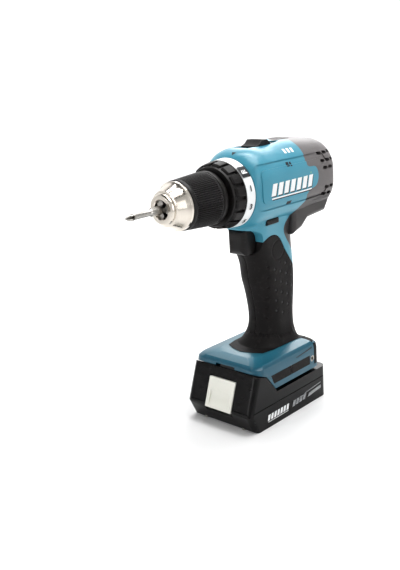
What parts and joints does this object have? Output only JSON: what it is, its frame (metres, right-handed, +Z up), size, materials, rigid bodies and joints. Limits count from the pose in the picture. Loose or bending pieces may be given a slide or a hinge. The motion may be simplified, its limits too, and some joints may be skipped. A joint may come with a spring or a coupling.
{
  "type": "cordless drill",
  "caption": "Pistol-grip cordless drill-driver standing on its slide-on battery, with keyless chuck, torque ring, two-speed lever and screwdriver bit.",
  "frame": {"origin": "centre of the battery's underside", "axes": "+X forward along the bit, +Y to the tool's left, +Z up"},
  "size_m": [0.2326, 0.075, 0.2455],
  "materials": {
    "teal_shell": "satin moulded plastic, fine texture",
    "grey_cover": "fine textured moulded plastic",
    "black_rubber": "soft moulded skin with small dimples",
    "black_plastic": "satin",
    "white_band": "satin with black scale marks",
    "pack_black": "semi-gloss",
    "latch_white": "satin",
    "contact_yellow": "satin",
    "chrome": "polished",
    "tool_steel": "ground",
    "gear_steel": "sintered, oiled",
    "gear_case": "glass-filled plastic",
    "motor_steel": "zinc plated",
    "magnet": "ferrite",
    "winding": "laminated stack with varnished copper",
    "copper": "turned",
    "carbon": "carbon",
    "switch_plastic": "matt",
    "wire": "insulation",
    "cell_wrap": "shrink wrap",
    "board": "solder mask"
  },
  "bodies": {
    "body": {"housing_left": "teal_shell", "housing_right": "teal_shell", "rear_cover": "grey_cover", "grip_skin_left": "black_rubber", "grip_skin_right": "black_rubber", "foot_strips": "black_rubber", "case_screws": "tool_steel", "hook_nuts": "tool_steel", "gearbox_case": "gear_case", "clutch_spring": "tool_steel", "clutch_washer": "tool_steel", "clutch_pins": "tool_steel", "clutch_ring_gear": "gear_steel", "bearings": "tool_steel", "motor_can": "motor_steel", "motor_magnets": "magnet", "motor_end_cap": "gear_case", "brushes": "carbon", "switch_body": "switch_plastic", "trigger_spring": "tool_steel", "terminal_block": "switch_plastic", "wires": "wire"},
    "torque_collar": {"torque_ring": "black_plastic", "torque_scale_band": "white_band"},
    "clutch_nut": {"clutch_nut": "gear_case"},
    "output": {"spindle": "tool_steel", "output_carrier": "gear_steel", "chuck_body": "chrome", "chuck_screw": "tool_steel"},
    "sleeve": {"chuck_sleeve": "black_plastic", "chuck_nut": "tool_steel"},
    "jaw_1": {"jaw_1": "tool_steel"},
    "jaw_2": {"jaw_2": "tool_steel"},
    "jaw_3": {"jaw_3": "tool_steel"},
    "bit": {"bit": "tool_steel"},
    "rotor": {"armature": "winding", "commutator": "copper", "motor_shaft": "tool_steel", "motor_fan": "gear_case", "motor_pinion": "gear_steel"},
    "first_carrier": {"first_carrier": "gear_steel"},
    "speed_slide": {"speed_lever": "black_plastic", "shift_yoke": "tool_steel", "shift_ring_gear": "gear_steel"},
    "trigger": {"trigger": "black_plastic"},
    "reverse_lever": {"reverse_lever": "black_plastic"},
    "battery": {"battery_case_lower": "pack_black", "battery_case_upper": "pack_black", "cells": "cell_wrap", "protection_board": "board", "battery_terminals": "contact_yellow", "battery_screws": "tool_steel", "latch_spring": "tool_steel"},
    "latch": {"battery_latch": "latch_white"},
    "first_planet_1": {"first_planet_1": "gear_steel"},
    "first_planet_2": {"first_planet_2": "gear_steel"},
    "first_planet_3": {"first_planet_3": "gear_steel"},
    "second_planet_1": {"second_planet_1": "gear_steel"},
    "second_planet_2": {"second_planet_2": "gear_steel"},
    "second_planet_3": {"second_planet_3": "gear_steel"}
  },
  "joints": [
    {"name": "chuck_spin", "type": "hinge", "parent": "body", "child": "output", "pos_m": [0, 0, 0.2055], "axis": [1, 0, 0], "continuous": true},
    {"name": "first_carrier_spin", "type": "hinge", "parent": "body", "child": "first_carrier", "pos_m": [0, 0, 0.2055], "axis": [1, 0, 0], "continuous": true},
    {"name": "rotor_spin", "type": "hinge", "parent": "body", "child": "rotor", "pos_m": [0, 0, 0.2055], "axis": [1, 0, 0], "continuous": true},
    {"name": "first_planet_1_spin", "type": "hinge", "parent": "first_carrier", "child": "first_planet_1", "pos_m": [0, 0.0108, 0.2055], "axis": [1, 0, 0], "continuous": true},
    {"name": "second_planet_1_spin", "type": "hinge", "parent": "output", "child": "second_planet_1", "pos_m": [0, 0.0108, 0.2055], "axis": [1, 0, 0], "continuous": true},
    {"name": "first_planet_2_spin", "type": "hinge", "parent": "first_carrier", "child": "first_planet_2", "pos_m": [0, -0.0054, 0.21485], "axis": [1, 0, 0], "continuous": true},
    {"name": "second_planet_2_spin", "type": "hinge", "parent": "output", "child": "second_planet_2", "pos_m": [0, -0.0054, 0.21485], "axis": [1, 0, 0], "continuous": true},
    {"name": "first_planet_3_spin", "type": "hinge", "parent": "first_carrier", "child": "first_planet_3", "pos_m": [0, -0.0054, 0.19615], "axis": [1, 0, 0], "continuous": true},
    {"name": "second_planet_3_spin", "type": "hinge", "parent": "output", "child": "second_planet_3", "pos_m": [0, -0.0054, 0.19615], "axis": [1, 0, 0], "continuous": true},
    {"name": "sleeve_turn", "type": "hinge", "parent": "output", "child": "sleeve", "pos_m": [0, 0, 0.2055], "axis": [1, 0, 0], "range_deg": [0, 2520]},
    {"name": "jaw_1_slide", "type": "slide", "parent": "output", "child": "jaw_1", "axis": [-0.9659, 0.2588, 0], "range_m": [0, 0.0115]},
    {"name": "jaw_2_slide", "type": "slide", "parent": "output", "child": "jaw_2", "axis": [-0.9659, -0.1294, 0.2241], "range_m": [0, 0.0115]},
    {"name": "jaw_3_slide", "type": "slide", "parent": "output", "child": "jaw_3", "axis": [-0.9659, -0.1294, -0.2241], "range_m": [0, 0.0115]},
    {"name": "bit_pull", "type": "slide", "parent": "output", "child": "bit", "axis": [1, 0, 0], "range_m": [0, 0.045]},
    {"name": "torque_turn", "type": "hinge", "parent": "body", "child": "torque_collar", "pos_m": [0, 0, 0.2055], "axis": [1, 0, 0], "range_deg": [0, 300]},
    {"name": "clutch_nut_travel", "type": "slide", "parent": "torque_collar", "child": "clutch_nut", "axis": [-1, 0, 0], "range_m": [0, 0.005], "deforming": ["clutch_spring"]},
    {"name": "speed_shift", "type": "slide", "parent": "body", "child": "speed_slide", "axis": [1, 0, 0], "range_m": [0, 0.007]},
    {"name": "trigger_pull", "type": "slide", "parent": "body", "child": "trigger", "axis": [-1, 0, 0], "range_m": [0, 0.007], "stiffness_N_per_m": 900, "springref_m": -0.004, "deforming": ["trigger_spring"]},
    {"name": "reverse_slide", "type": "slide", "parent": "body", "child": "reverse_lever", "axis": [0, 1, 0], "range_m": [-0.003, 0.003]},
    {"name": "battery_slide", "type": "slide", "parent": "body", "child": "battery", "axis": [1, 0, 0], "range_m": [0, 0.085]},
    {"name": "latch_press", "type": "slide", "parent": "battery", "child": "latch", "axis": [0.3431, 0, -0.9393], "range_m": [0, 0.004], "stiffness_N_per_m": 1200, "springref_m": -0.003, "deforming": ["latch_spring"]}
  ],
  "couplings": [
    {"joint": "first_carrier_spin", "follows": "chuck_spin", "ratio": 4.5},
    {"joint": "rotor_spin", "follows": "chuck_spin", "ratio": 20.25},
    {"joint": "first_planet_1_spin", "follows": "chuck_spin", "ratio": -12.6},
    {"joint": "second_planet_1_spin", "follows": "chuck_spin", "ratio": -2.8},
    {"joint": "first_planet_2_spin", "follows": "chuck_spin", "ratio": -12.6},
    {"joint": "second_planet_2_spin", "follows": "chuck_spin", "ratio": -2.8},
    {"joint": "first_planet_3_spin", "follows": "chuck_spin", "ratio": -12.6},
    {"joint": "second_planet_3_spin", "follows": "chuck_spin", "ratio": -2.8},
    {"joint": "jaw_1_slide", "follows": "sleeve_turn", "m_per_rad": 0.00026145},
    {"joint": "jaw_2_slide", "follows": "sleeve_turn", "m_per_rad": 0.00026145},
    {"joint": "jaw_3_slide", "follows": "sleeve_turn", "m_per_rad": 0.00026145},
    {"joint": "clutch_nut_travel", "follows": "torque_turn", "m_per_rad": 0.00095474}
  ]
}
